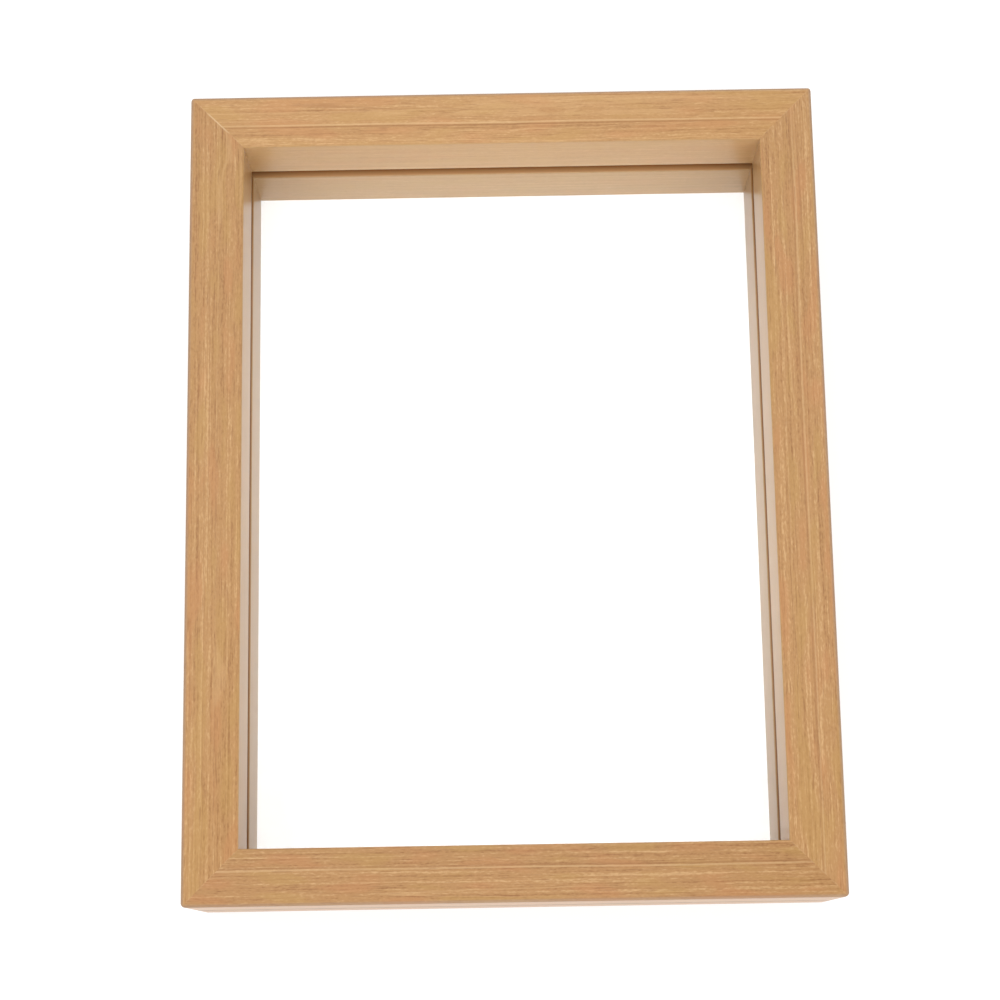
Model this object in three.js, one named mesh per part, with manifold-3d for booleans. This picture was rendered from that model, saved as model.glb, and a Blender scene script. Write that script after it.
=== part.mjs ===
// Screen printing frame: a back frame that carries the printing mesh, and a deep front frame that stands
// on it and walls in the ink. Each is four mitred wooden rails. A rebate in the front rails leaves a slot
// between the two frames all round the opening.
//
// Millimetres, +Z up. The frame lies flat, mesh down: X runs across it, Y runs along it, and the origin
// is the centre of its outline on the plane of the mesh's printing side.

import * as THREE from 'three';
import { mergeVertices } from 'three/addons/utils/BufferGeometryUtils.js';
import Module from 'manifold-3d';

const wasm = await Module();
wasm.setup();

// Driving dimensions.
const FRAME_WIDTH = 178;
const FRAME_LENGTH = 229;
const RAIL_WIDTH = 15.3;
const BACK_THICKNESS = 20;
const FRONT_THICKNESS = 25;
const PARTING_GAP = 0.3; // the hairline between the two frames
const ARRIS_RADIUS = 0.7; // rounding of the rails' outer edges
const PARTING_ARRIS_RADIUS = 1.2; // rounding of the two outer edges that meet at the hairline
const LIP_RADIUS = 0.4; // rounding of the rails' edges round the opening
const CORNER_RADIUS = 1.5; // rounding of the frame's four outer corners, seen from above

const SLOT_HEIGHT = 5; // the rebate in the front rails
const SLOT_REACH = 5;

const GROOVE_WIDTH = 3.6; // the groove in the back rails that the cord holds the mesh in
const GROOVE_DEPTH = 3.6;
const GROOVE_INSET = 3.2; // from the opening's edge to the groove

const MESH_THICKNESS = 0.3;
const MESH_CLEARANCE = 0.1; // between the mesh and the walls of the groove
const CORD_CLEARANCE = 0.1; // between the cord and the mesh
const CORD_BEND_RADIUS = 1.5;
const CORD_END_GAP = 0.6; // between the cord's two cut ends
const CORD_END_OFFSET = 24; // from the frame's centre line to the cord's cut ends

const DOWEL_DIAMETER = 4;
const DOWEL_LENGTH = 14;
const DOWEL_SEAT = 8; // the length that is glued into the back frame
const DOWEL_CHAMFER = 0.6;
const DOWEL_FROM_CORNER = 34;
const DOWEL_FROM_SIDE = 5.2;
const DOWEL_CLEARANCE = 0.1; // round the dowel
const DOWEL_END_GAP = 0.5; // past each end of the dowel

const NAIL_LEG = 4.2;
const NAIL_THICKNESS = 0.5;
const NAIL_HEIGHT = 10;
const NAIL_APEX_INSET = 6.4; // from both outer sides of the corner to the fold of the nail
const NAIL_RECESS = 0.2; // how far the nail is sunk below the wood
const NAIL_CLEARANCE = 0.1;

const ARC_SEGMENTS = 5; // on each rounded edge
const ROUND_SEGMENTS = 32; // on dowels and their holes
const CORD_SEGMENTS = 16;
const CORD_BEND_STEPS = 8;

// Sizes and heights that follow.
const OPENING_WIDTH = FRAME_WIDTH - 2 * RAIL_WIDTH;
const OPENING_LENGTH = FRAME_LENGTH - 2 * RAIL_WIDTH;
const BACK_BOTTOM = MESH_THICKNESS;
const BACK_TOP = BACK_BOTTOM + BACK_THICKNESS;
const FRONT_BOTTOM = BACK_TOP + PARTING_GAP;
const GROOVE_FLOOR = BACK_BOTTOM + GROOVE_DEPTH;
const CUT_PAST = 1; // how far a cutting solid runs past the face it enters

const WOOD_LOOK = { color: 0xcda473, roughness: 0.55, metalness: 0 };
const DOWEL_LOOK = { color: 0xd9bd90, roughness: 0.7, metalness: 0 };
const MESH_LOOK = { color: 0xf4f4f0, roughness: 0.8, metalness: 0 };
const CORD_LOOK = { color: 0xe8e4d8, roughness: 0.9, metalness: 0 };
const STEEL_LOOK = { color: 0x9a9ca0, roughness: 0.35, metalness: 1 };

// The four sides, counted a quarter turn at a time from the bottom rail. A rail is modelled as the
// bottom one, along X with its outer side facing -Y, and turned into its place.
const SIDES = [
  { name: 'bottom', quarterTurns: 0, length: FRAME_WIDTH, outerDistance: FRAME_LENGTH / 2 },
  { name: 'right', quarterTurns: 1, length: FRAME_LENGTH, outerDistance: FRAME_WIDTH / 2 },
  { name: 'top', quarterTurns: 2, length: FRAME_WIDTH, outerDistance: FRAME_LENGTH / 2 },
  { name: 'left', quarterTurns: 3, length: FRAME_LENGTH, outerDistance: FRAME_WIDTH / 2 },
];

const CORNERS = [
  { name: 'bottom_left', x: -1, y: -1 },
  { name: 'bottom_right', x: 1, y: -1 },
  { name: 'top_right', x: 1, y: 1 },
  { name: 'top_left', x: -1, y: 1 },
];

function toSolid(geometry) {
  const bare = geometry.clone();
  bare.deleteAttribute('normal');
  bare.deleteAttribute('uv');
  const merged = mergeVertices(bare, 1e-4);
  const vertProperties = new Float32Array(merged.attributes.position.array);
  const triVerts = new Uint32Array(merged.index.array);
  return new wasm.Manifold(new wasm.Mesh({ numProp: 3, vertProperties, triVerts }));
}

function toGeometry(solid) {
  const { vertProperties, triVerts } = solid.getMesh();
  const geometry = new THREE.BufferGeometry();
  geometry.setAttribute('position', new THREE.BufferAttribute(vertProperties, 3));
  geometry.setIndex(new THREE.BufferAttribute(triVerts, 1));
  return geometry;
}

function namedMesh(name, geometry, look) {
  const mesh = new THREE.Mesh(geometry, new THREE.MeshStandardMaterial(look));
  mesh.name = name;
  return mesh;
}

// An outline of square corners, each given as [x, y] or as [x, y, radius] where it is rounded.
function squareCornered(corners) {
  const shape = new THREE.Shape();
  const points = corners.map(([x, y]) => new THREE.Vector2(x, y));
  corners.forEach(([, , radius = 0], i) => {
    const corner = points[i];
    const towardsLast = points.at(i - 1).clone().sub(corner).setLength(radius);
    const towardsNext = points[(i + 1) % points.length].clone().sub(corner).setLength(radius);
    const start = corner.clone().add(towardsLast);
    const centre = start.clone().add(towardsNext);
    if (i === 0) {
      shape.moveTo(start.x, start.y);
    } else {
      shape.lineTo(start.x, start.y);
    }
    if (radius > 0) {
      const clockwise = towardsLast.cross(towardsNext) > 0;
      const fromAngle = towardsNext.clone().negate().angle();
      const toAngle = towardsLast.clone().negate().angle();
      shape.absarc(centre.x, centre.y, radius, fromAngle, toAngle, clockwise);
    }
  });
  return shape;
}

// Rail sections: x is the distance in from the outer side, y the height above the rail's own underside.
function frontSection() {
  const landEnd = RAIL_WIDTH - SLOT_REACH;
  return squareCornered([
    [0, 0, PARTING_ARRIS_RADIUS],
    [landEnd, 0],
    [landEnd, SLOT_HEIGHT],
    [RAIL_WIDTH, SLOT_HEIGHT, LIP_RADIUS],
    [RAIL_WIDTH, FRONT_THICKNESS, LIP_RADIUS],
    [0, FRONT_THICKNESS, ARRIS_RADIUS],
  ]);
}

function backSection() {
  const grooveEnd = RAIL_WIDTH - GROOVE_INSET;
  const grooveStart = grooveEnd - GROOVE_WIDTH;
  return squareCornered([
    [0, 0, ARRIS_RADIUS],
    [grooveStart, 0],
    [grooveStart, GROOVE_DEPTH],
    [grooveEnd, GROOVE_DEPTH],
    [grooveEnd, 0],
    [RAIL_WIDTH, 0, LIP_RADIUS],
    [RAIL_WIDTH, BACK_THICKNESS, LIP_RADIUS],
    [0, BACK_THICKNESS, PARTING_ARRIS_RADIUS],
  ]);
}

// A section run along X and cut to a 45 degree mitre at both ends, lying as the bottom rail does.
function mitredRail(section, { length, outerDistance }) {
  const geometry = new THREE.ExtrudeGeometry(section, {
    depth: length,
    steps: 1,
    bevelEnabled: false,
    curveSegments: ARC_SEGMENTS,
  });
  const { position } = geometry.attributes;
  for (let i = 0; i < position.count; i++) {
    const inFromSide = position.getX(i);
    const height = position.getY(i);
    const atFarEnd = position.getZ(i) > length / 2;
    const alongRail = length / 2 - inFromSide;
    position.setXYZ(i, atFarEnd ? alongRail : -alongRail, inFromSide - outerDistance, height);
  }
  return geometry;
}

// What is cut off a square outer corner at the origin, whose sides run along +X and +Y, to round it.
function cornerTrim() {
  const shape = new THREE.Shape();
  shape.moveTo(-CUT_PAST, -CUT_PAST);
  shape.lineTo(CORNER_RADIUS, -CUT_PAST);
  shape.absarc(CORNER_RADIUS, CORNER_RADIUS, CORNER_RADIUS, -Math.PI / 2, -Math.PI, true);
  shape.lineTo(-CUT_PAST, CORNER_RADIUS);
  const depth = Math.max(BACK_THICKNESS, FRONT_THICKNESS) + 2 * CUT_PAST;
  const options = { depth, bevelEnabled: false, curveSegments: ARC_SEGMENTS };
  return new THREE.ExtrudeGeometry(shape, options).translate(0, 0, -CUT_PAST);
}

// The folded nail seen from above: its fold is on the mitre and its two legs run parallel to the
// corner's outer sides, back towards them. Its frame has the outer corner at the origin and the
// corner's two sides along +X and +Y. grow adds to it all round.
function nailShape(grow) {
  const fold = NAIL_APEX_INSET + grow;
  const inside = NAIL_APEX_INSET - NAIL_THICKNESS - grow;
  const tip = NAIL_APEX_INSET - NAIL_LEG - grow;
  return squareCornered([
    [tip, inside],
    [inside, inside],
    [inside, tip],
    [fold, tip],
    [fold, fold],
    [tip, fold],
  ]);
}

function nailGeometry(grow, fromHeight, toHeight) {
  const options = { depth: toHeight - fromHeight, bevelEnabled: false };
  return new THREE.ExtrudeGeometry(nailShape(grow), options).translate(0, 0, fromHeight);
}

function nailSlot() {
  return nailGeometry(NAIL_CLEARANCE, -CUT_PAST, NAIL_RECESS + NAIL_HEIGHT + NAIL_CLEARANCE);
}

// A cut made for a corner at the origin, repeated at the two ends of a rail in the rail's own frame.
function atBothEnds(cornerCut, { length, outerDistance }) {
  const leftEnd = cornerCut().translate(-length / 2, -outerDistance, 0);
  const rightEnd = cornerCut().rotateZ(Math.PI / 2).translate(length / 2, -outerDistance, 0);
  return [leftEnd, rightEnd];
}

// Holes for the two dowels in a side rail, from one height to another in the rail's own frame.
function dowelHoles({ length, outerDistance }, fromHeight, toHeight) {
  const radius = DOWEL_DIAMETER / 2 + DOWEL_CLEARANCE;
  const depth = toHeight - fromHeight;
  const along = length / 2 - DOWEL_FROM_CORNER;
  const across = DOWEL_FROM_SIDE - outerDistance;
  return [-along, along].map((x) =>
    new THREE.CylinderGeometry(radius, radius, depth, ROUND_SEGMENTS)
      .rotateX(Math.PI / 2)
      .translate(x, across, fromHeight + depth / 2));
}

function placedRail(prefix, side, section, bottom, holeHeights) {
  const isSideRail = side.quarterTurns % 2 === 1;
  const holes = isSideRail ? dowelHoles(side, ...holeHeights) : [];
  const cuts = [...atBothEnds(cornerTrim, side), ...atBothEnds(nailSlot, side), ...holes];
  const rail = cuts.reduce((solid, cut) => solid.subtract(toSolid(cut)), toSolid(mitredRail(section, side)));
  const mesh = namedMesh(`${prefix}_rail_${side.name}`, toGeometry(rail), WOOD_LOOK);
  mesh.rotation.z = (side.quarterTurns * Math.PI) / 2;
  mesh.position.z = bottom;
  return mesh;
}

function cornerNail(prefix, corner, index, bottom) {
  const geometry = nailGeometry(0, NAIL_RECESS, NAIL_RECESS + NAIL_HEIGHT);
  const mesh = namedMesh(`${prefix}_v_nail_${corner.name}`, geometry, STEEL_LOOK);
  mesh.rotation.z = (index * Math.PI) / 2;
  mesh.position.set((corner.x * FRAME_WIDTH) / 2, (corner.y * FRAME_LENGTH) / 2, bottom);
  return mesh;
}

function backFrame() {
  const group = new THREE.Group();
  const holeHeights = [BACK_THICKNESS - DOWEL_SEAT - DOWEL_END_GAP, BACK_THICKNESS + CUT_PAST];
  SIDES.forEach((side) => group.add(placedRail('back', side, backSection(), BACK_BOTTOM, holeHeights)));
  CORNERS.forEach((corner, i) => group.add(cornerNail('back', corner, i, BACK_BOTTOM)));
  return group;
}

function frontFrame() {
  const group = new THREE.Group();
  const dowelStandsProud = DOWEL_LENGTH - DOWEL_SEAT - PARTING_GAP;
  const holeHeights = [-CUT_PAST, dowelStandsProud + DOWEL_END_GAP];
  SIDES.forEach((side) => group.add(placedRail('front', side, frontSection(), FRONT_BOTTOM, holeHeights)));
  CORNERS.forEach((corner, i) => group.add(cornerNail('front', corner, i, FRONT_BOTTOM)));
  return group;
}

// A dowel with chamfered ends, turned about its own axis.
function dowel(corner) {
  const radius = DOWEL_DIAMETER / 2;
  const profile = [
    [0, 0],
    [radius - DOWEL_CHAMFER, 0],
    [radius, DOWEL_CHAMFER],
    [radius, DOWEL_LENGTH - DOWEL_CHAMFER],
    [radius - DOWEL_CHAMFER, DOWEL_LENGTH],
    [0, DOWEL_LENGTH],
  ].map(([x, y]) => new THREE.Vector2(x, y));
  const geometry = new THREE.LatheGeometry(profile, ROUND_SEGMENTS).rotateX(Math.PI / 2);
  const mesh = namedMesh(`dowel_${corner.name}`, geometry, DOWEL_LOOK);
  mesh.position.set(
    corner.x * (FRAME_WIDTH / 2 - DOWEL_FROM_SIDE),
    corner.y * (FRAME_LENGTH / 2 - DOWEL_FROM_CORNER),
    BACK_TOP - DOWEL_SEAT,
  );
  return mesh;
}

// A block centred on the opening that reaches a given distance past the opening's edges.
function openingBlock(reach, fromHeight, toHeight) {
  const height = toHeight - fromHeight;
  const block = new THREE.BoxGeometry(OPENING_WIDTH + 2 * reach, OPENING_LENGTH + 2 * reach, height);
  return toSolid(block.translate(0, 0, fromHeight + height / 2));
}

function openingRing(innerReach, outerReach, fromHeight, toHeight) {
  const hole = openingBlock(innerReach, fromHeight - CUT_PAST, toHeight + CUT_PAST);
  return openingBlock(outerReach, fromHeight, toHeight).subtract(hole);
}

// The mesh lies flat under the back frame and is tucked into the groove: down one wall, across the
// floor and back up the other wall, where it is trimmed.
function screenMesh() {
  const nearWall = GROOVE_INSET + MESH_CLEARANCE;
  const farWall = GROOVE_INSET + GROOVE_WIDTH - MESH_CLEARANCE;
  const tuckTop = GROOVE_FLOOR - MESH_CLEARANCE;
  const flat = openingBlock(farWall, 0, MESH_THICKNESS);
  const tuck = openingRing(nearWall, farWall, 0, tuckTop);
  const channel = openingRing(
    nearWall + MESH_THICKNESS,
    farWall - MESH_THICKNESS,
    -CUT_PAST,
    tuckTop - MESH_THICKNESS,
  );
  return namedMesh('screen_mesh', toGeometry(flat.add(tuck).subtract(channel)), MESH_LOOK);
}

// The line of the cord: a rectangle with bent corners that starts and ends at the cut in its top side.
// It has a step at each end of a straight and several round each bend, whatever their lengths.
class CordLine extends THREE.Curve {
  constructor(halfWidth, halfLength, height) {
    super();
    const x = halfWidth - CORD_BEND_RADIUS;
    const y = halfLength - CORD_BEND_RADIUS;
    const bendCentres = [[-x, y], [-x, -y], [x, -y], [x, y]];
    this.points = [new THREE.Vector3(-CORD_END_OFFSET - CORD_END_GAP, halfLength, height)];
    bendCentres.forEach(([centreX, centreY], bend) => {
      for (let step = 0; step <= CORD_BEND_STEPS; step++) {
        const angle = (Math.PI / 2) * (1 + bend + step / CORD_BEND_STEPS);
        this.points.push(new THREE.Vector3(
          centreX + CORD_BEND_RADIUS * Math.cos(angle),
          centreY + CORD_BEND_RADIUS * Math.sin(angle),
          height,
        ));
      }
    });
    this.points.push(new THREE.Vector3(-CORD_END_OFFSET, halfLength, height));
  }

  get steps() {
    return this.points.length - 1;
  }

  getPointAt(t) {
    return this.points[Math.round(t * this.steps)].clone();
  }

  getTangentAt(t) {
    const i = Math.round(t * this.steps);
    const before = this.points[Math.max(i - 1, 0)];
    const after = this.points[Math.min(i + 1, this.steps)];
    return after.clone().sub(before).normalize();
  }
}

function meshCord() {
  const cavityWidth = GROOVE_WIDTH - 2 * (MESH_CLEARANCE + MESH_THICKNESS);
  const radius = cavityWidth / 2 - CORD_CLEARANCE;
  const reach = GROOVE_INSET + GROOVE_WIDTH / 2;
  const height = GROOVE_FLOOR - MESH_CLEARANCE - MESH_THICKNESS - CORD_CLEARANCE - radius;
  const line = new CordLine(OPENING_WIDTH / 2 + reach, OPENING_LENGTH / 2 + reach, height);
  const section = new THREE.Shape().absarc(0, 0, radius, 0, 2 * Math.PI);
  const geometry = new THREE.ExtrudeGeometry(section, {
    steps: line.steps,
    curveSegments: CORD_SEGMENTS,
    extrudePath: line,
  });
  return namedMesh('mesh_cord', geometry, CORD_LOOK);
}

const group = new THREE.Group();
group.add(backFrame(), frontFrame(), ...CORNERS.map(dowel), screenMesh(), meshCord());

export default group;
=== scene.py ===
"""Looks of the screen printing frame: wooden rails, woven mesh, cord, fluted dowels and steel nails."""

import math

import bmesh
import bpy
from mathutils import Matrix, Vector


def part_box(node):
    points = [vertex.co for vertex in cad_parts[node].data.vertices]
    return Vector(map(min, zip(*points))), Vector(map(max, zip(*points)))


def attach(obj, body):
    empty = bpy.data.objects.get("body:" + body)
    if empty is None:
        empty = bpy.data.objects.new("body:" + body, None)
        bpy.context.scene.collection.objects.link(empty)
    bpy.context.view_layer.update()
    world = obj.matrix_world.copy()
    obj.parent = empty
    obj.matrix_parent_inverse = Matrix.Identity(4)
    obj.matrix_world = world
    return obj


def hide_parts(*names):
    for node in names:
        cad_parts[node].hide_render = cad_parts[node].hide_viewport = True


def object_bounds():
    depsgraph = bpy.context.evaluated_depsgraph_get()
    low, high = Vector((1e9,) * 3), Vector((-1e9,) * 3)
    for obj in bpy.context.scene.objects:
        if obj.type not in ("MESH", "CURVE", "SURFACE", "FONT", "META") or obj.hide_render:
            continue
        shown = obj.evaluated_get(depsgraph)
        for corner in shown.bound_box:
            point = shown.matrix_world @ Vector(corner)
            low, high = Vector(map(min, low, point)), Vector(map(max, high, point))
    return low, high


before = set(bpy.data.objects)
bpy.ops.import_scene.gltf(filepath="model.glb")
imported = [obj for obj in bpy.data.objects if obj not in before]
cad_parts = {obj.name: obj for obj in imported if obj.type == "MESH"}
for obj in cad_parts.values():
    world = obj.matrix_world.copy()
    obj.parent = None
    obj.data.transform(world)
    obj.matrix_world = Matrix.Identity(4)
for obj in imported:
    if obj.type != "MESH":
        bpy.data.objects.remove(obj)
cad_low, cad_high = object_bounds()

MM = 0.001

BACK_BODY = "back_frame"
FRONT_BODY = "front_frame"
BODY_OF_LAYER = {"back": BACK_BODY, "front": FRONT_BODY}
SIDES = ("bottom", "right", "top", "left")
CORNERS = ("bottom_left", "bottom_right", "top_right", "top_left")

OUTER_HALF_X = cad_high.x
OUTER_HALF_Y = cad_high.y
RAIL_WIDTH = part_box("front_rail_left")[1].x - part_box("front_rail_left")[0].x
OPENING_HALF_X = OUTER_HALF_X - RAIL_WIDTH
OPENING_HALF_Y = OUTER_HALF_Y - RAIL_WIDTH

SLOT_HEIGHT = 5.0 * MM
SLOT_DEPTH = 5.0 * MM
SLOT_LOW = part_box("back_rail_left")[1].z
SLOT_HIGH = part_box("front_rail_left")[0].z + SLOT_HEIGHT
# How far in from the opening the slot's wood goes from pale to dark: painted shade that deepens into the
# slot. At the sides only its edge is seen.
SLOT_SHADE_FADE = {"bottom": 2.4 * MM, "right": 0.7 * MM, "top": 2.4 * MM, "left": 0.7 * MM}
PARTING_HEIGHT = (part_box("back_rail_left")[1].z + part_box("front_rail_left")[0].z) / 2
PARTING_EDGE = 1.5 * MM  # the width of the outer rounding at the hairline, which has the outside's finish and the hairline's painted shade
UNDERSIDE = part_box("back_rail_left")[0].z
ARRIS_REACH = 1.1  # millimetres from the outline to where the greyish-brown tint on its rounded edge ends
HAIRLINE_REACH = 2.4  # millimetres above and below the hairline
GLUE_SEEN = (4.0, 11.5)  # millimetres from the frame's ends between which a mitre's glue line is bold
GLUE_FADE = 1.75
GLUE_HALF_WIDTH = (0.42, 0.12)  # millimetres off the joint where the line ends, and where it is full
GLUE_BREAK_SCALE = (0.35, 0.35, 0.0)
GLUE_BREAK_LEVELS = (0.42, 0.56)
FAINT_GLUE = 0.16
LIP_WIDTH = 0.4 * MM  # the rounding between the face and the opening's walls
SURFACE_SLACK = 0.05 * MM

RAIL_BEVEL = 0.08 * MM  # softening of the rails' sawn edges
NAIL_BEVEL = 0.06 * MM
BEVEL_SEGMENTS = 2
SHARP_ANGLE = math.radians(30)
FLAT_ANGLE = math.radians(0.5)  # facets that meet at less are merged
MERGE_DISTANCE = 0.002 * MM


def linear(red, green, blue):
    """A colour given as 0 to 255 display values, as the linear RGBA that nodes take."""
    def channel(value):
        share = value / 255
        return share / 12.92 if share <= 0.04045 else ((share + 0.055) / 1.055) ** 2.4
    return (channel(red), channel(green), channel(blue), 1.0)


# ---------------------------------------------------------------- materials

class Shader:
    """A node-based material under construction. Each method adds a node and returns its output."""

    def __init__(self, name):
        self.material = bpy.data.materials.new(name)
        self.material.use_nodes = True
        self.tree = self.material.node_tree
        self.tree.nodes.clear()

    def add(self, kind, **settings):
        node = self.tree.nodes.new(kind)
        for key, value in settings.items():
            setattr(node, key, value)
        return node

    def feed(self, socket, value):
        if isinstance(value, bpy.types.NodeSocket):
            self.tree.links.new(value, socket)
        else:
            socket.default_value = value

    def place(self):
        """The point's place in the object's own frame, in millimetres."""
        return self.stretch(self.add("ShaderNodeTexCoord").outputs["Object"], (1 / MM,) * 3)

    def stretch(self, vector, factors):
        node = self.add("ShaderNodeVectorMath", operation="MULTIPLY")
        self.feed(node.inputs[0], vector)
        self.feed(node.inputs[1], factors)
        return node.outputs[0]

    def shift(self, vector, offset):
        node = self.add("ShaderNodeVectorMath", operation="ADD")
        self.feed(node.inputs[0], vector)
        self.feed(node.inputs[1], offset)
        return node.outputs[0]

    def split(self, vector):
        node = self.add("ShaderNodeSeparateXYZ")
        self.feed(node.inputs[0], vector)
        return node.outputs["X"], node.outputs["Y"], node.outputs["Z"]

    def join(self, x, y, z):
        node = self.add("ShaderNodeCombineXYZ")
        for socket, value in zip(node.inputs, (x, y, z)):
            self.feed(socket, value)
        return node.outputs[0]

    def math(self, operation, first, second=0.0):
        node = self.add("ShaderNodeMath", operation=operation)
        self.feed(node.inputs[0], first)
        self.feed(node.inputs[1], second)
        return node.outputs[0]

    def ramp(self, value, low, high):
        """0 below low, 1 above high and smooth between them. low may be the greater."""
        node = self.add("ShaderNodeMapRange", interpolation_type="SMOOTHSTEP")
        self.feed(node.inputs["Value"], value)
        self.feed(node.inputs["From Min"], low)
        self.feed(node.inputs["From Max"], high)
        return node.outputs["Result"]

    def noise(self, vector, detail=2.0, roughness=0.5):
        node = self.add("ShaderNodeTexNoise")
        self.feed(node.inputs["Vector"], vector)
        self.feed(node.inputs["Scale"], 1.0)
        self.feed(node.inputs["Detail"], detail)
        self.feed(node.inputs["Roughness"], roughness)
        return node.outputs["Fac"]

    def mix(self, factor, first, second):
        node = self.add("ShaderNodeMix", data_type="RGBA")
        self.feed(node.inputs["Factor"], factor)
        self.feed(node.inputs["A"], first)
        self.feed(node.inputs["B"], second)
        return node.outputs["Result"]

    def tint(self, colour, towards, mask, strength):
        """The colour, taken this far towards another where the mask is 1."""
        return self.mix(self.math("MULTIPLY", mask, strength), colour, towards)

    def bump(self, height, distance):
        node = self.add("ShaderNodeBump")
        self.feed(node.inputs["Height"], height)
        self.feed(node.inputs["Distance"], distance)
        return node.outputs["Normal"]

    def surface(self, **inputs):
        """A Principled surface. Input names are written with _ for each space."""
        node = self.add("ShaderNodeBsdfPrincipled")
        for key, value in inputs.items():
            self.feed(node.inputs[key.replace("_", " ")], value)
        return node.outputs["BSDF"]

    def blend_shaders(self, factor, first, second):
        node = self.add("ShaderNodeMixShader")
        self.feed(node.inputs[0], factor)
        self.feed(node.inputs[1], first)
        self.feed(node.inputs[2], second)
        return node.outputs[0]

    def finish(self, shader):
        self.feed(self.add("ShaderNodeOutputMaterial").inputs["Surface"], shader)
        return self.material


WOOD_MID = linear(177, 131, 80)
WOOD_PALE = linear(203, 161, 110)
WOOD_DARK = linear(149, 102, 57)
WOOD_TAWNY = linear(186, 126, 78)
WOOD_STRAW = linear(179, 139, 76)
WOOD_FLECK = linear(136, 88, 46)
WOOD_EDGE = linear(150, 126, 106)
WOOD_GLUE = linear(208, 174, 130)
WOOD_STREAK = linear(210, 172, 124)
# The wood inside the slot: unfinished wood with painted shade, lit near the opening and shaded deeper in.
SLOT_WOOD_IN_PAINTED_SHADE = linear(132, 86, 46)
SLOT_WOOD_PAINTED_LIT = linear(198, 152, 102)
WOOD_SHADOW_LINE = linear(84, 62, 46)
# Painted light: the opening's walls take a paler, greyer colour than the face, as the light falls on them.
WOOD_WALL_PAINTED_LIGHT = {"front": linear(196, 162, 116), "back": linear(186, 163, 128)}

# The layers of the grain: cycles per millimetre along it and across it, and the layer's share of the tone.
GRAIN_LAYERS = (
    (0.004, 0.25, 0.07),
    (0.008, 1.40, 0.31),
    (0.020, 2.60, 0.20),
    (0.300, 2.20, 0.18),
    (0.900, 2.20, 0.24),
)
TONE_DARK = 0.34
TONE_MID = 0.50
TONE_PALE = 0.66
FIRST_SEED = {"front": 1, "back": 5}  # each layer's rails take four seeds from here
SEED_STEP = (431.0, 57.0, 23.0)  # how far apart in the wood two rails are cut
# How the grain drifts sideways: cycles per millimetre along it and across it, and millimetres of drift.
SWAYS = ((0.008, 0.03, 1.0), (0.090, 0.15, 0.5))

# A scale is in cycles per millimetre along the grain and across it. Levels are values of its noise
# between which the feature goes from absent to full.
HUE_SCALE = (0.05, 0.22, 0.22)
TAWNY_LEVELS = (0.52, 0.68)
STRAW_LEVELS = (0.48, 0.32)
FLECK_SCALE = (0.16, 3.0, 3.0)
FLECK_LEVELS = (0.68, 0.78)
PALE_LINE_DENSITY = 0.24  # cycles per millimetre across the grain
DARK_LINE_DENSITY = 0.30
LINE_DRIFT = 0.003  # cycles per millimetre along the grain
LINE_HALF_WIDTH = (0.016, 0.004)  # how far off 0.5 the noise is where a line ends, and where it is full
LINE_PRESENCE_SCALE = (0.014, 0.3, 0.3)
LINE_PRESENCE_LEVELS = (0.44, 0.60)
OTHER_LINES = (90.0, 31.0, 17.0)  # how far off in the wood the dark lines' pattern is taken

# A pale streak with a dark one beside it on each rail: millimetres in from the outline, and strength.
STREAKS = {"bottom": (9.3, 0.45), "right": (6.1, 0.35), "top": (8.9, 0.5), "left": (8.4, 0.1)}
STREAK_WIDTH = 0.6
STREAK_WANDER = 1.2
STREAK_WANDER_SCALE = (0.012, 0.0, 0.0)
STREAK_HALF_WIDTH = (0.34, 0.14)  # millimetres off its middle where it ends, and where it is full
STREAK_PRESENCE_SCALE = (0.02, 0.0, 0.0)
STREAK_PRESENCE_LEVELS = (0.26, 0.50)
# How far each rail's colour is taken towards pale wood: painted light, brighter towards the top left.
RAIL_PAINTED_LIGHT = {"bottom": 0.0, "right": 0.04, "top": 0.20, "left": 0.10}

# How far the colour is taken towards each tint where the tint is at its fullest.
HUE_TINT = 0.4
LINE_TINT = 0.35
FLECK_TINT = 0.35
WALL_PAINTED_LIGHT_TINT = 0.55
GLUE_TINT = 0.8
EDGE_TINT = 0.55
HAIRLINE_TINT = 0.9
SLOT_TINT = 0.9

WOOD_SHINE = 0.245
WOOD_ROUGHNESS = 0.24
SHINE_BY_TONE = 0.35  # pale wood shines more than dark
ROUGHNESS_BY_TONE = 0.12
WALL_DULLNESS = 0.20  # shine that the opening's walls lack
WOOD_RELIEF = 0.015 * MM
RELIEF_GAIN = 0.5


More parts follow.
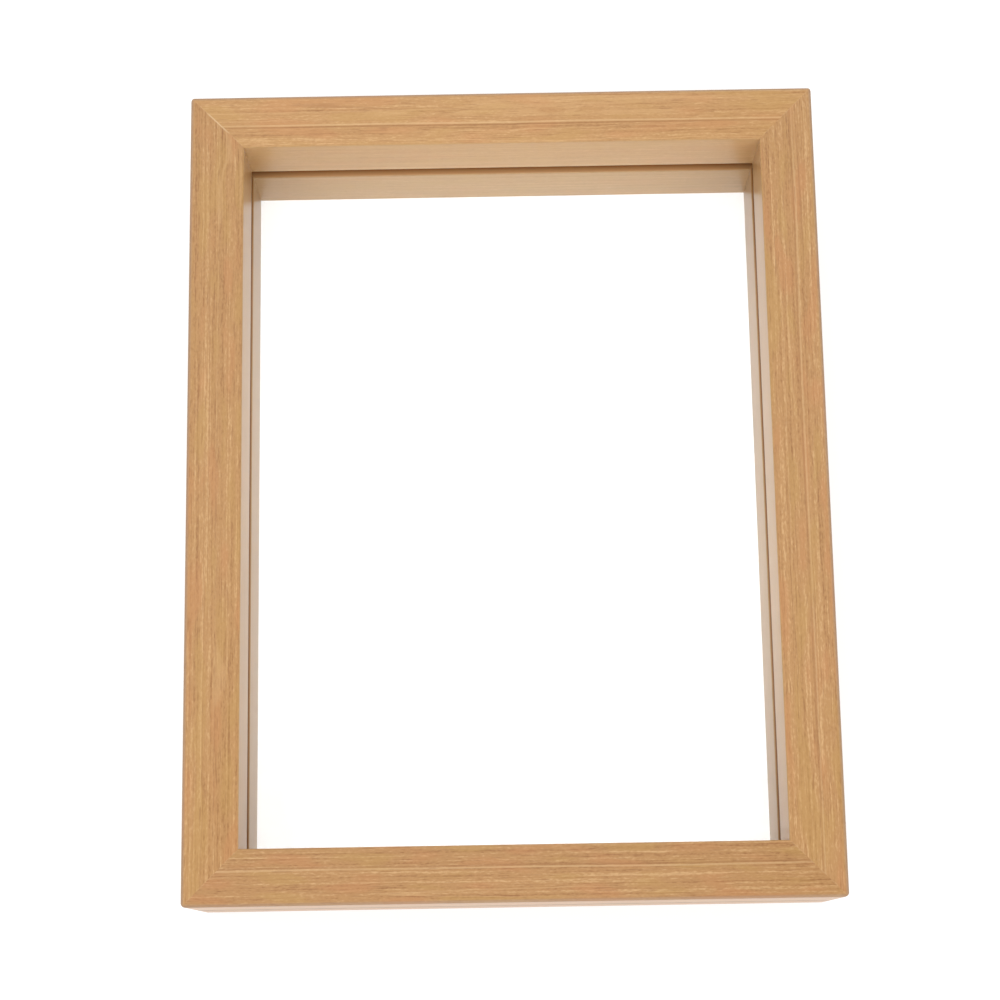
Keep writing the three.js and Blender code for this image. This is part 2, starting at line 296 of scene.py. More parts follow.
def rail_wood(name, layer, side, seed):
    """Straight, fine-grained light wood. The grain follows the rail, and each rail has its own figure."""
    runs_along_x = side in ("top", "bottom")
    shader = Shader(name)
    x, y, z = shader.split(shader.place())
    along, across = (x, y) if runs_along_x else (y, x)
    grain_place = shader.shift(shader.join(along, across, z), tuple(seed * step for step in SEED_STEP))
    grain_place = swayed(shader, grain_place)
    inward = shader.math("MINIMUM", *in_from_outline(shader, x, y))
    on_wall = inner_wall(shader, inward)
    tone = grain_tone(shader, grain_place)
    flecks = shader.ramp(shader.noise(shader.stretch(grain_place, FLECK_SCALE), detail=0.0), *FLECK_LEVELS)

    colour = figured_colour(shader, grain_place, tone, side)
    colour = streaked(shader, colour, grain_place, inward, side)
    colour = shader.tint(colour, WOOD_FLECK, flecks, FLECK_TINT)
    # Painted light on the opening's walls, which makes them paler than the face.
    colour = shader.tint(colour, WOOD_WALL_PAINTED_LIGHT[layer], on_wall, WALL_PAINTED_LIGHT_TINT)
    colour = shader.tint(colour, WOOD_GLUE, mitre_line(shader, x, y), GLUE_TINT)
    colour = shader.tint(colour, WOOD_EDGE, outer_arris(shader, inward, z), EDGE_TINT)
    # Painted shade along the hairline where the two frames meet.
    colour = shader.tint(colour, WOOD_SHADOW_LINE, hairline(shader, inward, z), HAIRLINE_TINT)
    # Painted shade inside the slot: pale at the opening and darker deeper in, as shade falls there.
    near_opening = shader.ramp(inward, (RAIL_WIDTH - SLOT_SHADE_FADE[side]) / MM, RAIL_WIDTH / MM)
    slot_shade_ramp = shader.mix(near_opening, SLOT_WOOD_IN_PAINTED_SHADE, SLOT_WOOD_PAINTED_LIT)
    colour = shader.tint(colour, slot_shade_ramp, inside_slot(shader, inward, z), SLOT_TINT)

    shine = shader.math("ADD", WOOD_SHINE, shader.math("MULTIPLY", tone, SHINE_BY_TONE))
    roughness = shader.math("ADD", WOOD_ROUGHNESS, shader.math("MULTIPLY", tone, ROUGHNESS_BY_TONE))
    relief = shader.math("MULTIPLY", shader.math("SUBTRACT", tone, flecks), RELIEF_GAIN)
    return shader.finish(shader.surface(
        Base_Color=colour,
        Roughness=roughness,
        Specular_IOR_Level=shader.math("SUBTRACT", shine, shader.math("MULTIPLY", on_wall, WALL_DULLNESS)),
        Normal=shader.bump(relief, WOOD_RELIEF),
    ))


def figured_colour(shader, grain_place, tone, side):
    """The grain's colour: dark to pale by its tone, drifting between tawny and straw, and painted paler per
    rail as the light falls.
    """
    colour = shader.mix(shader.ramp(tone, TONE_DARK, TONE_MID), WOOD_DARK, WOOD_MID)
    colour = shader.mix(shader.ramp(tone, TONE_MID, TONE_PALE), colour, WOOD_PALE)
    hue = shader.noise(shader.stretch(grain_place, HUE_SCALE), detail=1.0)
    colour = shader.tint(colour, WOOD_TAWNY, shader.ramp(hue, *TAWNY_LEVELS), HUE_TINT)
    colour = shader.tint(colour, WOOD_STRAW, shader.ramp(hue, *STRAW_LEVELS), HUE_TINT)
    # Painted light: each rail is taken paler by how much light falls on it.
    return shader.mix(RAIL_PAINTED_LIGHT[side], colour, WOOD_PALE)


def streaked(shader, colour, grain_place, inward, side):
    """The colour with the grain's fine pale and dark lines, and the rail's own pair of streaks."""
    pale_lines = fine_lines(shader, grain_place, PALE_LINE_DENSITY)
    dark_lines = fine_lines(shader, shader.shift(grain_place, OTHER_LINES), DARK_LINE_DENSITY)
    colour = shader.tint(colour, WOOD_PALE, pale_lines, LINE_TINT)
    colour = shader.tint(colour, WOOD_DARK, dark_lines, LINE_TINT)
    place, strength = STREAKS[side]
    pale_streak = streak(shader, grain_place, inward, place)
    dark_streak = streak(shader, grain_place, inward, place + STREAK_WIDTH)
    colour = shader.tint(colour, WOOD_STREAK, pale_streak, strength)
    return shader.tint(colour, WOOD_DARK, dark_streak, strength)


def swayed(shader, grain_place):
    """The grain's own coordinates, drifting sideways, so that its lines aren't ruler-straight."""
    total = 0.0
    for along, across, reach in SWAYS:
        drift = shader.noise(shader.stretch(grain_place, (along, across, across)), detail=0.0)
        drift = shader.math("MULTIPLY", shader.math("SUBTRACT", drift, 0.5), reach)
        total = shader.math("ADD", total, drift)
    return shader.shift(grain_place, shader.join(0.0, total, total))


def grain_tone(shader, grain_place):
    """The grain's tone, which is 0.5 on average. Dark wood is lower and pale wood is higher."""
    tone = 0.0
    for along, across, share in GRAIN_LAYERS:
        layer = shader.noise(shader.stretch(grain_place, (along, across, across)), detail=1.0)
        tone = shader.math("ADD", tone, shader.math("MULTIPLY", layer, share))
    return tone


def fine_lines(shader, grain_place, density):
    """1 on thin lines along the grain that fade in and out."""
    level = shader.noise(shader.stretch(grain_place, (LINE_DRIFT, density, density)), detail=0.0)
    off_line = shader.math("ABSOLUTE", shader.math("SUBTRACT", level, 0.5))
    line = shader.ramp(off_line, *LINE_HALF_WIDTH)
    presence = shader.noise(shader.stretch(grain_place, LINE_PRESENCE_SCALE), detail=0.0)
    return shader.math("MULTIPLY", line, shader.ramp(presence, *LINE_PRESENCE_LEVELS))


def streak(shader, grain_place, inward, streak_at):
    """1 on one thin line along the rail that wanders a little, and fades in and out."""
    wander = shader.noise(shader.stretch(grain_place, STREAK_WANDER_SCALE), detail=1.0)
    wander = shader.math("MULTIPLY", shader.math("SUBTRACT", wander, 0.5), STREAK_WANDER)
    from_streak = shader.math("SUBTRACT", shader.math("ADD", inward, wander), streak_at)
    off_line = shader.math("ABSOLUTE", from_streak)
    line = shader.ramp(off_line, *STREAK_HALF_WIDTH)
    presence = shader.noise(shader.stretch(grain_place, STREAK_PRESENCE_SCALE), detail=2.0)
    return shader.math("MULTIPLY", line, shader.ramp(presence, *STREAK_PRESENCE_LEVELS))


def in_from_outline(shader, x, y):
    """How far in the point is from the frame's outline: from its two long sides, and from its two ends."""
    from_sides = shader.math("SUBTRACT", OUTER_HALF_X / MM, shader.math("ABSOLUTE", x))
    from_ends = shader.math("SUBTRACT", OUTER_HALF_Y / MM, shader.math("ABSOLUTE", y))
    return from_sides, from_ends


def inner_wall(shader, inward):
    """1 on the walls of the opening, whose colour is painted paler than the face's, as the light falls on
    them.
    """
    return shader.ramp(inward, (RAIL_WIDTH - LIP_WIDTH) / MM, (RAIL_WIDTH - SURFACE_SLACK) / MM)


def outer_arris(shader, inward, z):
    """1 on the rounded edges round the outline of the top face and of the underside, else 0."""
    below_top = shader.math("SUBTRACT", cad_high.z / MM, z)
    from_flat = shader.math("MINIMUM", below_top, shader.math("SUBTRACT", z, UNDERSIDE / MM))
    return shader.ramp(shader.math("MAXIMUM", inward, from_flat), ARRIS_REACH, ARRIS_REACH / 3)


def hairline(shader, inward, z):
    """1 along the line where the two frames meet on the outside: painted shade of the gap between them."""
    off_line = shader.math("ABSOLUTE", shader.math("SUBTRACT", z, PARTING_HEIGHT / MM))
    on_line = shader.ramp(off_line, HAIRLINE_REACH, HAIRLINE_REACH / 4)
    return shader.math("MULTIPLY", on_line, shader.math("LESS_THAN", inward, PARTING_EDGE / MM))


def mitre_line(shader, x, y):
    """The pale glue line on the mitres: bold halfway along the top left one, else faint and broken."""
    from_sides, from_ends = in_from_outline(shader, x, y)
    off_joint = shader.math("ABSOLUTE", shader.math("SUBTRACT", from_sides, from_ends))
    line = shader.ramp(off_joint, *GLUE_HALF_WIDTH)
    breaks = shader.noise(shader.stretch(shader.join(x, y, 0.0), GLUE_BREAK_SCALE), detail=1.0)
    near, far = GLUE_SEEN
    past_near = shader.ramp(from_ends, near, near + GLUE_FADE)
    before_far = shader.ramp(from_ends, far, far - GLUE_FADE)
    at_left = shader.math("LESS_THAN", x, 0.0)
    at_top = shader.math("GREATER_THAN", y, 0.0)
    top_left = shader.math("MULTIPLY", at_left, at_top)
    bold = shader.math("MULTIPLY", shader.math("MULTIPLY", past_near, before_far), top_left)
    faint = shader.math("MULTIPLY", shader.ramp(breaks, *GLUE_BREAK_LEVELS), FAINT_GLUE)
    return shader.math("MULTIPLY", line, shader.math("MAXIMUM", bold, faint))


def inside_slot(shader, inward, z):
    """1 on the unfinished wood just inside the slot, which carries painted shade, fading to 0 at its far
    end.
    """
    near_opening = shader.ramp(inward, (RAIL_WIDTH - SLOT_DEPTH) / MM, (RAIL_WIDTH - SLOT_DEPTH / 2) / MM)
    above_floor = shader.math("GREATER_THAN", z, (SLOT_LOW - SURFACE_SLACK) / MM)
    below_roof = shader.math("LESS_THAN", z, (SLOT_HIGH + SURFACE_SLACK) / MM)
    return shader.math("MULTIPLY", near_opening, shader.math("MULTIPLY", above_floor, below_roof))


BEECH_PALE = linear(228, 200, 160)
BEECH_DARK = linear(196, 160, 116)
BEECH_FLECK = linear(160, 116, 76)
BEECH_END_PALE = linear(192, 154, 110)
BEECH_END_DARK = linear(150, 112, 76)
BEECH_GRAIN_SCALE = (3.0, 3.0, 0.12)  # cycles per millimetre in X, Y and Z, as for the scales below
BEECH_GRAIN_LEVELS = (0.35, 0.65)
BEECH_FLECK_SCALE = (6.0, 6.0, 0.9)
BEECH_FLECK_LEVELS = (0.62, 0.70)
BEECH_FLECK_TINT = 0.6
END_GRAIN_SCALE = (9.0, 9.0, 9.0)
END_GRAIN_LEVELS = (0.4, 0.6)
END_FACES_UP = (0.8, 0.95)  # the normal's upward share where end grain starts to show, and shows fully
BEECH_ROUGHNESS = 0.7
BEECH_RELIEF = 0.04 * MM


def dowel_wood():
    """Bare beech: pale, with short flecks along the dowel and dull end grain."""
    shader = Shader("dowel_beech")
    place = shader.place()
    grain = shader.noise(shader.stretch(place, BEECH_GRAIN_SCALE), detail=3.0, roughness=0.6)
    flecks = shader.noise(shader.stretch(place, BEECH_FLECK_SCALE), detail=1.0)
    colour = shader.mix(shader.ramp(grain, *BEECH_GRAIN_LEVELS), BEECH_DARK, BEECH_PALE)
    colour = shader.tint(colour, BEECH_FLECK, shader.ramp(flecks, *BEECH_FLECK_LEVELS), BEECH_FLECK_TINT)
    normal = shader.add("ShaderNodeNewGeometry").outputs["Normal"]
    facing_up = shader.ramp(shader.split(normal)[2], *END_FACES_UP)
    end_grain = shader.noise(shader.stretch(place, END_GRAIN_SCALE), detail=2.0)
    end_colour = shader.mix(shader.ramp(end_grain, *END_GRAIN_LEVELS), BEECH_END_DARK, BEECH_END_PALE)
    colour = shader.mix(facing_up, colour, end_colour)
    return shader.finish(shader.surface(
        Base_Color=colour,
        Roughness=BEECH_ROUGHNESS,
        Normal=shader.bump(grain, BEECH_RELIEF),
    ))


THREAD_PITCH = 0.3  # millimetres
THREAD_SHARE = 0.62  # of the pitch that a thread covers
THREAD_EDGE = 0.08  # height on a thread's side from which it hides what is behind
POLYESTER_COOL = linear(240, 241, 243)
POLYESTER_WARM = linear(250, 250, 248)
POLYESTER_TINT_SCALE = (0.02, 0.02, 0.02)
POLYESTER_ROUGHNESS = 0.55
POLYESTER_SHEEN = 0.2
POLYESTER_RELIEF = 0.03 * MM
GLOW_SHARE = 0.5  # of a thread's look that is light from behind


def mesh_fabric():
    """Plain-weave white polyester. The holes between its threads are see-through."""
    shader = Shader("mesh_polyester")
    place = shader.place()
    x, y, _ = shader.split(place)
    half_cover = THREAD_SHARE / 2

    def thread(coordinate):
        """Height of a round thread that runs square to the coordinate: 1 on its crown, 0 at its sides."""
        cycle = shader.math("FRACT", shader.math("DIVIDE", coordinate, THREAD_PITCH))
        from_crown = shader.math("ABSOLUTE", shader.math("SUBTRACT", cycle, 0.5))
        return shader.ramp(from_crown, half_cover, 0.0)

    def over_under(first, second):
        """1 where the first set of threads is on top, in a chequer of one thread over, one under."""
        steps = [shader.math("FLOOR", shader.math("DIVIDE", c, THREAD_PITCH)) for c in (first, second)]
        return shader.math("PINGPONG", shader.math("ADD", steps[0], steps[1]), 1.0)

    warp, weft = thread(x), thread(y)
    warp_on_top = over_under(x, y)
    lift = shader.math("MULTIPLY", warp_on_top, 0.5)
    warp_height = shader.math("MULTIPLY", warp, shader.math("ADD", 0.5, lift))
    weft_height = shader.math("MULTIPLY", weft, shader.math("SUBTRACT", 1.0, lift))
    height = shader.math("MAXIMUM", warp_height, weft_height)
    covered = shader.ramp(shader.math("MAXIMUM", warp, weft), 0.0, THREAD_EDGE)
    tint = shader.noise(shader.stretch(place, POLYESTER_TINT_SCALE), detail=2.0)
    colour = shader.mix(tint, POLYESTER_COOL, POLYESTER_WARM)
    threads = shader.surface(
        Base_Color=colour,
        Roughness=POLYESTER_ROUGHNESS,
        Sheen_Weight=POLYESTER_SHEEN,
        Normal=shader.bump(height, POLYESTER_RELIEF),
    )
    glow_through = shader.add("ShaderNodeBsdfTranslucent")
    shader.feed(glow_through.inputs["Color"], colour)
    threads = shader.blend_shaders(GLOW_SHARE, threads, glow_through.outputs[0])
    holes = shader.add("ShaderNodeBsdfTransparent").outputs[0]
    return shader.finish(shader.blend_shaders(covered, holes, threads))


COTTON_PALE = linear(240, 235, 222)
COTTON_SHADE = linear(206, 198, 180)
COTTON_SOIL = linear(196, 180, 150)
COTTON_FUZZ_SCALE = (7.0, 7.0, 7.0)
COTTON_FUZZ_LEVELS = (0.3, 0.7)
COTTON_SOIL_SCALE = (0.08, 0.08, 0.08)
COTTON_SOIL_LEVELS = (0.5, 0.75)
COTTON_SOIL_TINT = 0.3
COTTON_ROUGHNESS = 0.9
COTTON_SHEEN = 0.4
COTTON_RELIEF = 0.12 * MM


def cord_cotton():
    """Natural cotton, finely fuzzy and faintly soiled in patches."""
    shader = Shader("cord_cotton")
    place = shader.place()
    fuzz = shader.noise(shader.stretch(place, COTTON_FUZZ_SCALE), detail=4.0, roughness=0.7)
    soil = shader.noise(shader.stretch(place, COTTON_SOIL_SCALE), detail=2.0)
    colour = shader.mix(shader.ramp(fuzz, *COTTON_FUZZ_LEVELS), COTTON_SHADE, COTTON_PALE)
    colour = shader.tint(colour, COTTON_SOIL, shader.ramp(soil, *COTTON_SOIL_LEVELS), COTTON_SOIL_TINT)
    return shader.finish(shader.surface(
        Base_Color=colour,
        Roughness=COTTON_ROUGHNESS,
        Sheen_Weight=COTTON_SHEEN,
        Normal=shader.bump(fuzz, COTTON_RELIEF),
    ))


STEEL_BRIGHT = linear(196, 198, 202)
STEEL_DULL = linear(150, 150, 150)
STEEL_MARK_SCALE = (1.2, 1.2, 22.0)
STEEL_DULL_SCALE = (0.7, 0.7, 0.7)
STEEL_DULL_LEVELS = (0.4, 0.7)
STEEL_ROUGHNESS = 0.26
ROUGHNESS_BY_MARK = 0.22
STEEL_RELIEF = 0.01 * MM


def nail_steel():
    """Bright strip steel with fine rolling marks."""
    shader = Shader("nail_steel")
    place = shader.place()
    marks = shader.noise(shader.stretch(place, STEEL_MARK_SCALE), detail=3.0, roughness=0.6)
    dull = shader.noise(shader.stretch(place, STEEL_DULL_SCALE), detail=2.0)
    colour = shader.mix(shader.ramp(dull, *STEEL_DULL_LEVELS), STEEL_BRIGHT, STEEL_DULL)
    extra_roughness = shader.math("MULTIPLY", marks, ROUGHNESS_BY_MARK)
    return shader.finish(shader.surface(
        Base_Color=colour,
        Metallic=1.0,
        Roughness=shader.math("ADD", STEEL_ROUGHNESS, extra_roughness),
        Normal=shader.bump(marks, STEEL_RELIEF),
    ))


# ---------------------------------------------------------------- mesh helpers

def piece_from(name, mesh, material, body, stands_for):
    """A new visible piece that stands for CAD nodes and rides on their body."""
    piece = bpy.data.objects.new(name, mesh)
    bpy.context.scene.collection.objects.link(piece)
    mesh.materials.clear()
    mesh.materials.append(material)
    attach(piece, body)
    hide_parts(*stands_for)
    return piece


def smooth_everywhere(mesh):
    mesh.polygons.foreach_set("use_smooth", [True] * len(mesh.polygons))


def smooth_by_angle(mesh, angle):
    smooth_everywhere(mesh)
    mesh.set_sharp_from_angle(angle=angle)


def rings_to_mesh(name, rings, closed_along):
    """Quads between rings of equally many points. Unless it's closed along, each end gets a cap."""
    shape = bmesh.new()
    loops = [[shape.verts.new(point) for point in ring] for ring in rings]
    count = len(loops[0])
    steps = range(len(loops)) if closed_along else range(len(loops) - 1)
    for i in steps:
        here, there = loops[i], loops[(i + 1) % len(loops)]
        for k in range(count):
            n = (k + 1) % count
            shape.faces.new((here[k], here[n], there[n], there[k]))
    if not closed_along:
        shape.faces.new(list(reversed(loops[0])))
        shape.faces.new(loops[-1])
    bmesh.ops.recalc_face_normals(shape, faces=shape.faces)
    mesh = bpy.data.meshes.new(name)
    shape.to_mesh(mesh)
    shape.free()
    return mesh


# ---------------------------------------------------------------- pieces

def softened_copy(node, width):
    """The CAD node's own solid with its facets merged and its sharp edges softened by a small bevel."""
    shape = bmesh.new()
    shape.from_mesh(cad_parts[node].data)
    bmesh.ops.remove_doubles(shape, verts=shape.verts, dist=MERGE_DISTANCE)
    bmesh.ops.dissolve_limit(shape, angle_limit=FLAT_ANGLE, verts=shape.verts, edges=shape.edges)
    sharp = [e for e in shape.edges if len(e.link_faces) == 2 and e.calc_face_angle() > SHARP_ANGLE]
    bmesh.ops.bevel(shape, geom=sharp, offset=width, segments=BEVEL_SEGMENTS, profile=0.5,
                    affect="EDGES", clamp_overlap=True)
    bmesh.ops.recalc_face_normals(shape, faces=shape.faces)
    mesh = bpy.data.meshes.new(node + "_softened")
    shape.to_mesh(mesh)
    shape.free()
    smooth_by_angle(mesh, SHARP_ANGLE)
    return mesh


def make_rails():
    for layer, body in BODY_OF_LAYER.items():
        for seed, side in enumerate(SIDES, FIRST_SEED[layer]):
            node = f"{layer}_rail_{side}"
            wood = rail_wood(f"{node}_wood", layer, side, seed)
            mesh = softened_copy(node, RAIL_BEVEL)
            piece_from(f"{node}_veneered", mesh, wood, body, [node])


def make_nails():
    steel = nail_steel()
    for layer, body in BODY_OF_LAYER.items():
        for corner in CORNERS:
            node = f"{layer}_v_nail_{corner}"
            mesh = softened_copy(node, NAIL_BEVEL)
            piece_from(f"{node}_folded", mesh, steel, body, [node])


FLUTES = 10
FLUTE_DEPTH = 0.18 * MM
FLUTE_STEPS = 8  # points round each flute
DOWEL_CHAMFER = 0.6 * MM
# The rounded chamfer from the end inward: share of its height, and share of the dowel's radius.
DOWEL_END = ((0.0, 0.62), (0.4, 0.86), (1.0, 1.0))


def fluted_ring(centre, radius, height):
    """Points round the dowel at one height, drawn in where a flute passes."""
    points = []
    for step in range(FLUTES * FLUTE_STEPS):
        angle = 2 * math.pi * step / (FLUTES * FLUTE_STEPS)
        flute = max(0.0, math.cos(FLUTES * angle)) ** 2
        reach = radius - FLUTE_DEPTH * flute
        points.append((centre.x + reach * math.cos(angle), centre.y + reach * math.sin(angle), height))
    return points


def make_dowels():
    """Beech dowels with fluted sides, which let the glue out, and chamfered ends."""
    beech = dowel_wood()
    for corner in CORNERS:
        node = f"dowel_{corner}"
        low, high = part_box(node)
        centre = (low + high) / 2
        radius = (high.x - low.x) / 2
        profile = [(low.z + step * DOWEL_CHAMFER, share) for step, share in DOWEL_END]
        profile += [(high.z - step * DOWEL_CHAMFER, share) for step, share in reversed(DOWEL_END)]
        rings = [fluted_ring(centre, radius * share, height) for height, share in profile]
        mesh = rings_to_mesh(f"{node}_fluted", rings, closed_along=False)
        smooth_by_angle(mesh, SHARP_ANGLE)
        piece_from(f"{node}_fluted", mesh, beech, BACK_BODY, [node])


def groove_room():
    """Where the tucked mesh and the cord lie: distances past the opening's edge, and heights."""
    mesh_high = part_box("screen_mesh")[1]
    cord_low, cord_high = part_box("mesh_cord")
    return {
        "trim": mesh_high.x - OPENING_HALF_X,
        "cord_near": cord_high.x - OPENING_HALF_X - (cord_high.z - cord_low.z),
        "cord_far": cord_high.x - OPENING_HALF_X,
        "tuck_top": mesh_high.z,
        "flat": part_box("back_rail_left")[0].z,
    }


FABRIC_THICKNESS = 0.12 * MM
FABRIC_STEP = 2.0 * MM
FABRIC_GAP = 0.12 * MM  # between the fabric's middle and the wood or the cord
FABRIC_BEND = 0.45 * MM
FABRIC_BEND_STEPS = 3
FABRIC_MERGE_DISTANCE = 0.001 * MM
FABRIC_TAIL = (1.2 * MM, 0.1 * MM)  # heights of the trimmed end above the flat mesh


def bend_points(centre_reach, centre_height, start, turn):
    """Points at even steps round a bend of the fabric, which starts and turns by these degrees."""
    steps = range(FABRIC_BEND_STEPS + 1)
    angles = [math.radians(start + turn * step / FABRIC_BEND_STEPS) for step in steps]
    return [(centre_reach + FABRIC_BEND * math.cos(a), centre_height + FABRIC_BEND * math.sin(a))
            for a in angles]


def fabric_section(room):
    """The fabric from the opening's edge outward, as (distance past the edge, height)."""
    flat = room["flat"] - FABRIC_GAP
    near = room["cord_near"] - FABRIC_GAP
    far = room["trim"] - FABRIC_GAP / 2
    top = room["tuck_top"] - FABRIC_GAP
    section = [(0.0, flat)]
    section += bend_points(near - FABRIC_BEND, flat + FABRIC_BEND, -90, 90)
    section += bend_points(near + FABRIC_BEND, top - FABRIC_BEND, 180, -90)
    section += bend_points(far - FABRIC_BEND, top - FABRIC_BEND, 90, -90)
    section += [(far, flat + height) for height in FABRIC_TAIL]
    return section


def lengths_along(section):
    """How far along the section each of its points is."""
    lengths = [0.0]
    for (reach, height), (next_reach, next_height) in zip(section, section[1:]):
        lengths.append(lengths[-1] + math.hypot(next_reach - reach, next_height - height))
    return lengths


def stations(half, lengths):
    """Places along one axis: even steps inside the opening, and the section's own points outside it."""
    count = round(2 * half / FABRIC_STEP)
    inside = [-half + 2 * half * i / count for i in range(count + 1)]
    outside = [half + length for length in lengths[1:]]
    return [-place for place in reversed(outside)] + inside + outside


def folded(flat_x, flat_y, section, lengths):
    """Where a point of the flat sheet goes when its margin is folded along the section."""
    past_x = abs(flat_x) - OPENING_HALF_X
    past_y = abs(flat_y) - OPENING_HALF_Y
    past = max(past_x, past_y)
    if past <= 0:
        return Vector((flat_x, flat_y, section[0][1]))
    nearest = min(range(len(lengths)), key=lambda i: abs(lengths[i] - past))
    reach, height = section[nearest]
    shrink = reach / past
    x = math.copysign(OPENING_HALF_X + past_x * shrink, flat_x) if past_x > 0 else flat_x
    y = math.copysign(OPENING_HALF_Y + past_y * shrink, flat_y) if past_y > 0 else flat_y
    return Vector((x, y, height))


def make_fabric():
    """The mesh: stretched flat under the back frame, then tucked into the groove, round the cord."""
    section = fabric_section(groove_room())
    lengths = lengths_along(section)
    columns = stations(OPENING_HALF_X, lengths)
    rows = stations(OPENING_HALF_Y, lengths)
    shape = bmesh.new()
    grid = [[shape.verts.new(folded(x, y, section, lengths)) for x in columns] for y in rows]
    for lower, upper in zip(grid, grid[1:]):
        for i in range(len(columns) - 1):
            shape.faces.new((lower[i], lower[i + 1], upper[i + 1], upper[i]))
    bmesh.ops.remove_doubles(shape, verts=shape.verts, dist=FABRIC_MERGE_DISTANCE)
    bmesh.ops.recalc_face_normals(shape, faces=shape.faces)
    mesh = bpy.data.meshes.new("mesh_fabric")
    shape.to_mesh(mesh)
    shape.free()
    smooth_everywhere(mesh)
    fabric = piece_from("mesh_fabric", mesh, mesh_fabric(), BACK_BODY, ["screen_mesh"])
    thicken = fabric.modifiers.new("thickness", "SOLIDIFY")
    thicken.thickness = FABRIC_THICKNESS
    thicken.offset = 0.0


CORD_STRANDS = 3
CORD_PITCH = 8.0 * MM
CORD_STEP = 0.5 * MM
STRAND_SIDES = 8
CORD_END_GAP = 0.8 * MM
CORD_BEND = 1.5 * MM
CORD_CUT_AT = -24 * MM  # in X, on the top side
STRAND_SHARP_ANGLE = math.radians(60)


def heading_vector(angle):
    return Vector((math.cos(angle), math.sin(angle)))


def place_on_loop(distance, half_x, half_y, bend):
    """The place and heading this far round a rectangle with round corners, from its top right, leftward."""
    straights = (2 * (half_x - bend), 2 * (half_y - bend))
    quarter = math.pi / 2 * bend
    distance %= 2 * sum(straights) + 4 * quarter
    for side, (sign_x, sign_y) in enumerate(((-1, 1), (-1, -1), (1, -1), (1, 1))):
        centre = Vector((sign_x * (half_x - bend), sign_y * (half_y - bend)))
        heading = math.pi + side * math.pi / 2
        outward = heading - math.pi / 2
        straight = straights[side % 2]
        if distance <= straight:
            start_of_bend = centre + heading_vector(outward) * bend
            return start_of_bend - heading_vector(heading) * (straight - distance), heading
        distance -= straight
        turn = min(distance, quarter) / bend
        if distance <= quarter or side == 3:
            return centre + heading_vector(outward + turn) * bend, heading + turn
        distance -= quarter


def cord_line(half_x, half_y):
    """Even steps along the cord from the cut in its top side: place, heading and distance."""
    loop = 4 * (half_x + half_y - 2 * CORD_BEND) + 2 * math.pi * CORD_BEND
    length = loop - CORD_END_GAP
    first = half_x - CORD_BEND - CORD_CUT_AT
    steps = int(length / CORD_STEP)
    line = []
    for i in range(steps + 1):
        distance = length * i / steps
        place, heading = place_on_loop(first + distance, half_x, half_y, CORD_BEND)
        line.append((place, heading, distance))
    return line


def make_cord():
    """Three-strand twisted cord that lies in the mesh's tuck, in one length whose ends meet."""
    low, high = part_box("mesh_cord")
    cord_radius = (high.z - low.z) / 2
    height = (high.z + low.z) / 2
    strand_radius = cord_radius / (1 + 2 / math.sqrt(3))
    twist_radius = cord_radius - strand_radius
    line = cord_line(high.x - cord_radius, high.y - cord_radius)
    up = Vector((0, 0, 1))
    shape = bmesh.new()
    for strand in range(CORD_STRANDS):
        rings = []
        for place, heading, distance in line:
            side = heading_vector(heading + math.pi / 2).to_3d()
            twist = 2 * math.pi * (distance / CORD_PITCH + strand / CORD_STRANDS)
            middle = Vector((place.x, place.y, height))
            middle += (side * math.cos(twist) + up * math.sin(twist)) * twist_radius
            rings.append([
                middle + (side * math.cos(a) + up * math.sin(a)) * strand_radius
                for a in (2 * math.pi * k / STRAND_SIDES + twist for k in range(STRAND_SIDES))
            ])
        mesh = rings_to_mesh("strand", rings, closed_along=False)
        shape.from_mesh(mesh)
        bpy.data.meshes.remove(mesh)
    mesh = bpy.data.meshes.new("mesh_cord_twisted")
    shape.to_mesh(mesh)
    shape.free()
    smooth_by_angle(mesh, STRAND_SHARP_ANGLE)
    piece_from("mesh_cord_twisted", mesh, cord_cotton(), BACK_BODY, ["mesh_cord"])


# ---------------------------------------------------------------- stage, light and camera

FLOOR_HALF = 12.0
FLOOR_HEIGHT = -0.2 * MM
FLOOR_GREY = linear(188, 188, 188)
FLOOR_ROUGHNESS = 0.9
FLOOR_GLOW = 0.6
EXTRA_GLOW_UNDER_FRAME = 0.8


def make_floor():
    """A pale floor that glows like a light table, most under the frame. From below it's see-through."""
    shader = Shader("floor_white")
    x, y, _ = shader.split(shader.place())
    from_sides, from_ends = in_from_outline(shader, x, y)
    under_frame = shader.ramp(shader.math("MINIMUM", from_sides, from_ends), 0.0, RAIL_WIDTH / MM)
    glow = shader.math("ADD", FLOOR_GLOW, shader.math("MULTIPLY", under_frame, EXTRA_GLOW_UNDER_FRAME))
    surface = shader.surface(
        Base_Color=FLOOR_GREY,
        Roughness=FLOOR_ROUGHNESS,
        Emission_Color=(1.0, 1.0, 1.0, 1.0),
        Emission_Strength=glow,
    )
    from_below = shader.add("ShaderNodeNewGeometry").outputs["Backfacing"]
    camera_ray = shader.add("ShaderNodeLightPath").outputs["Is Camera Ray"]
    clear = shader.add("ShaderNodeBsdfTransparent").outputs[0]
    seen_from_below = shader.math("MULTIPLY", from_below, camera_ray)
    material = shader.finish(shader.blend_shaders(seen_from_below, surface, clear))

    mesh = bpy.data.meshes.new("floor")
    signs = ((-1, -1), (1, -1), (1, 1), (-1, 1))
    corners = [(sign_x * FLOOR_HALF, sign_y * FLOOR_HALF, FLOOR_HEIGHT) for sign_x, sign_y in signs]
    mesh.from_pydata(corners, [], [(0, 1, 2, 3)])
    mesh.materials.append(material)
    floor = bpy.data.objects.new("floor", mesh)
    bpy.context.scene.collection.objects.link(floor)


WORLD_STRENGTH = 0.72
# Each softbox: its name, place, diameter in metres, and power in watts.
SOFTBOXES = (
    ("overhead_softbox", (-0.25, 0.55, 1.3), 2.0, 8.0),
    ("front_softbox", (0.0, -3.0, 2.5), 4.2, 80.0),
)
LIGHT_AIM = Vector((0, 0, 0))


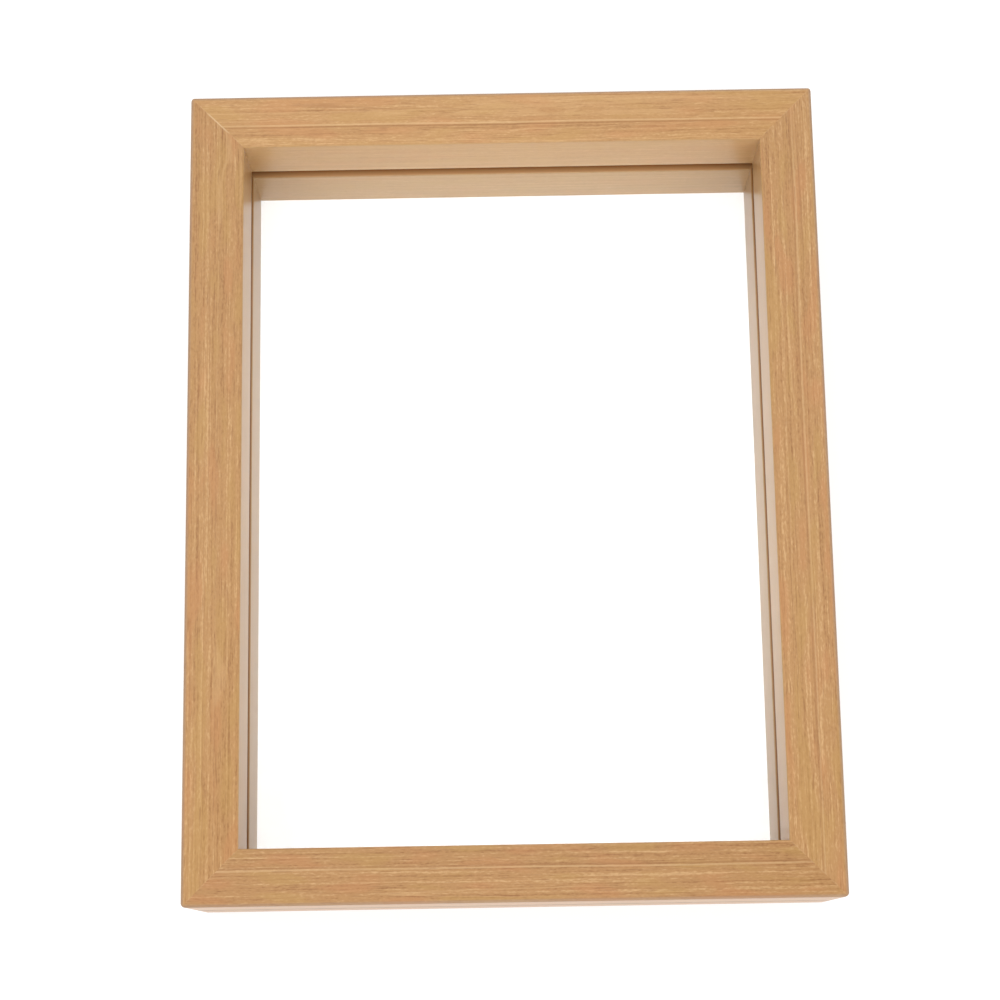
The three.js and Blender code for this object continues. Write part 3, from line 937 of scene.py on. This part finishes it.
def make_softbox(name, place, diameter, power):
    light = bpy.data.lights.new(name, "AREA")
    light.shape = "DISK"
    light.size = diameter
    light.energy = power
    lamp = bpy.data.objects.new(name, light)
    lamp.location = place
    lamp.rotation_mode = "QUATERNION"
    lamp.rotation_quaternion = (LIGHT_AIM - Vector(place)).to_track_quat("-Z", "Y")
    bpy.context.scene.collection.objects.link(lamp)


def make_world():
    world = bpy.data.worlds.new("studio")
    world.use_nodes = True
    background = world.node_tree.nodes["Background"]
    background.inputs["Color"].default_value = (1.0, 1.0, 1.0, 1.0)
    background.inputs["Strength"].default_value = WORLD_STRENGTH
    bpy.context.scene.world = world


CAMERA_LENS = 80.2  # millimetres, on the default 36 mm sensor
CAMERA_ELEVATION = math.radians(77.98)
CAMERA_AZIMUTH = math.radians(0.47)
CAMERA_ROLL = math.radians(-1.43)
CAMERA_DISTANCE = 2.685  # in lengths of the frame
CAMERA_AIM = (-0.0095, -0.0222)  # off the middle of the front face, in lengths of the frame
CAMERA_NEAREST = 0.01  # metres


def make_camera():
    length = 2 * OUTER_HALF_Y
    aim = Vector((CAMERA_AIM[0] * length, CAMERA_AIM[1] * length, cad_high.z))
    back = Vector((
        math.sin(CAMERA_AZIMUTH) * math.cos(CAMERA_ELEVATION),
        -math.cos(CAMERA_AZIMUTH) * math.cos(CAMERA_ELEVATION),
        math.sin(CAMERA_ELEVATION),
    ))
    camera = bpy.data.objects.new("camera", bpy.data.cameras.new("camera"))
    camera.data.lens = CAMERA_LENS
    camera.location = aim + back * CAMERA_DISTANCE * length
    camera.rotation_mode = "QUATERNION"
    level = (-back).to_track_quat("-Z", "Y")
    camera.rotation_quaternion = level @ Matrix.Rotation(CAMERA_ROLL, 3, "Z").to_quaternion()
    camera.data.clip_start = CAMERA_NEAREST
    bpy.context.scene.collection.objects.link(camera)
    bpy.context.scene.camera = camera


make_rails()
make_nails()
make_dowels()
make_fabric()
make_cord()
make_floor()
make_world()
for softbox in SOFTBOXES:
    make_softbox(*softbox)
make_camera()
bpy.context.scene.view_settings.view_transform = "Standard"
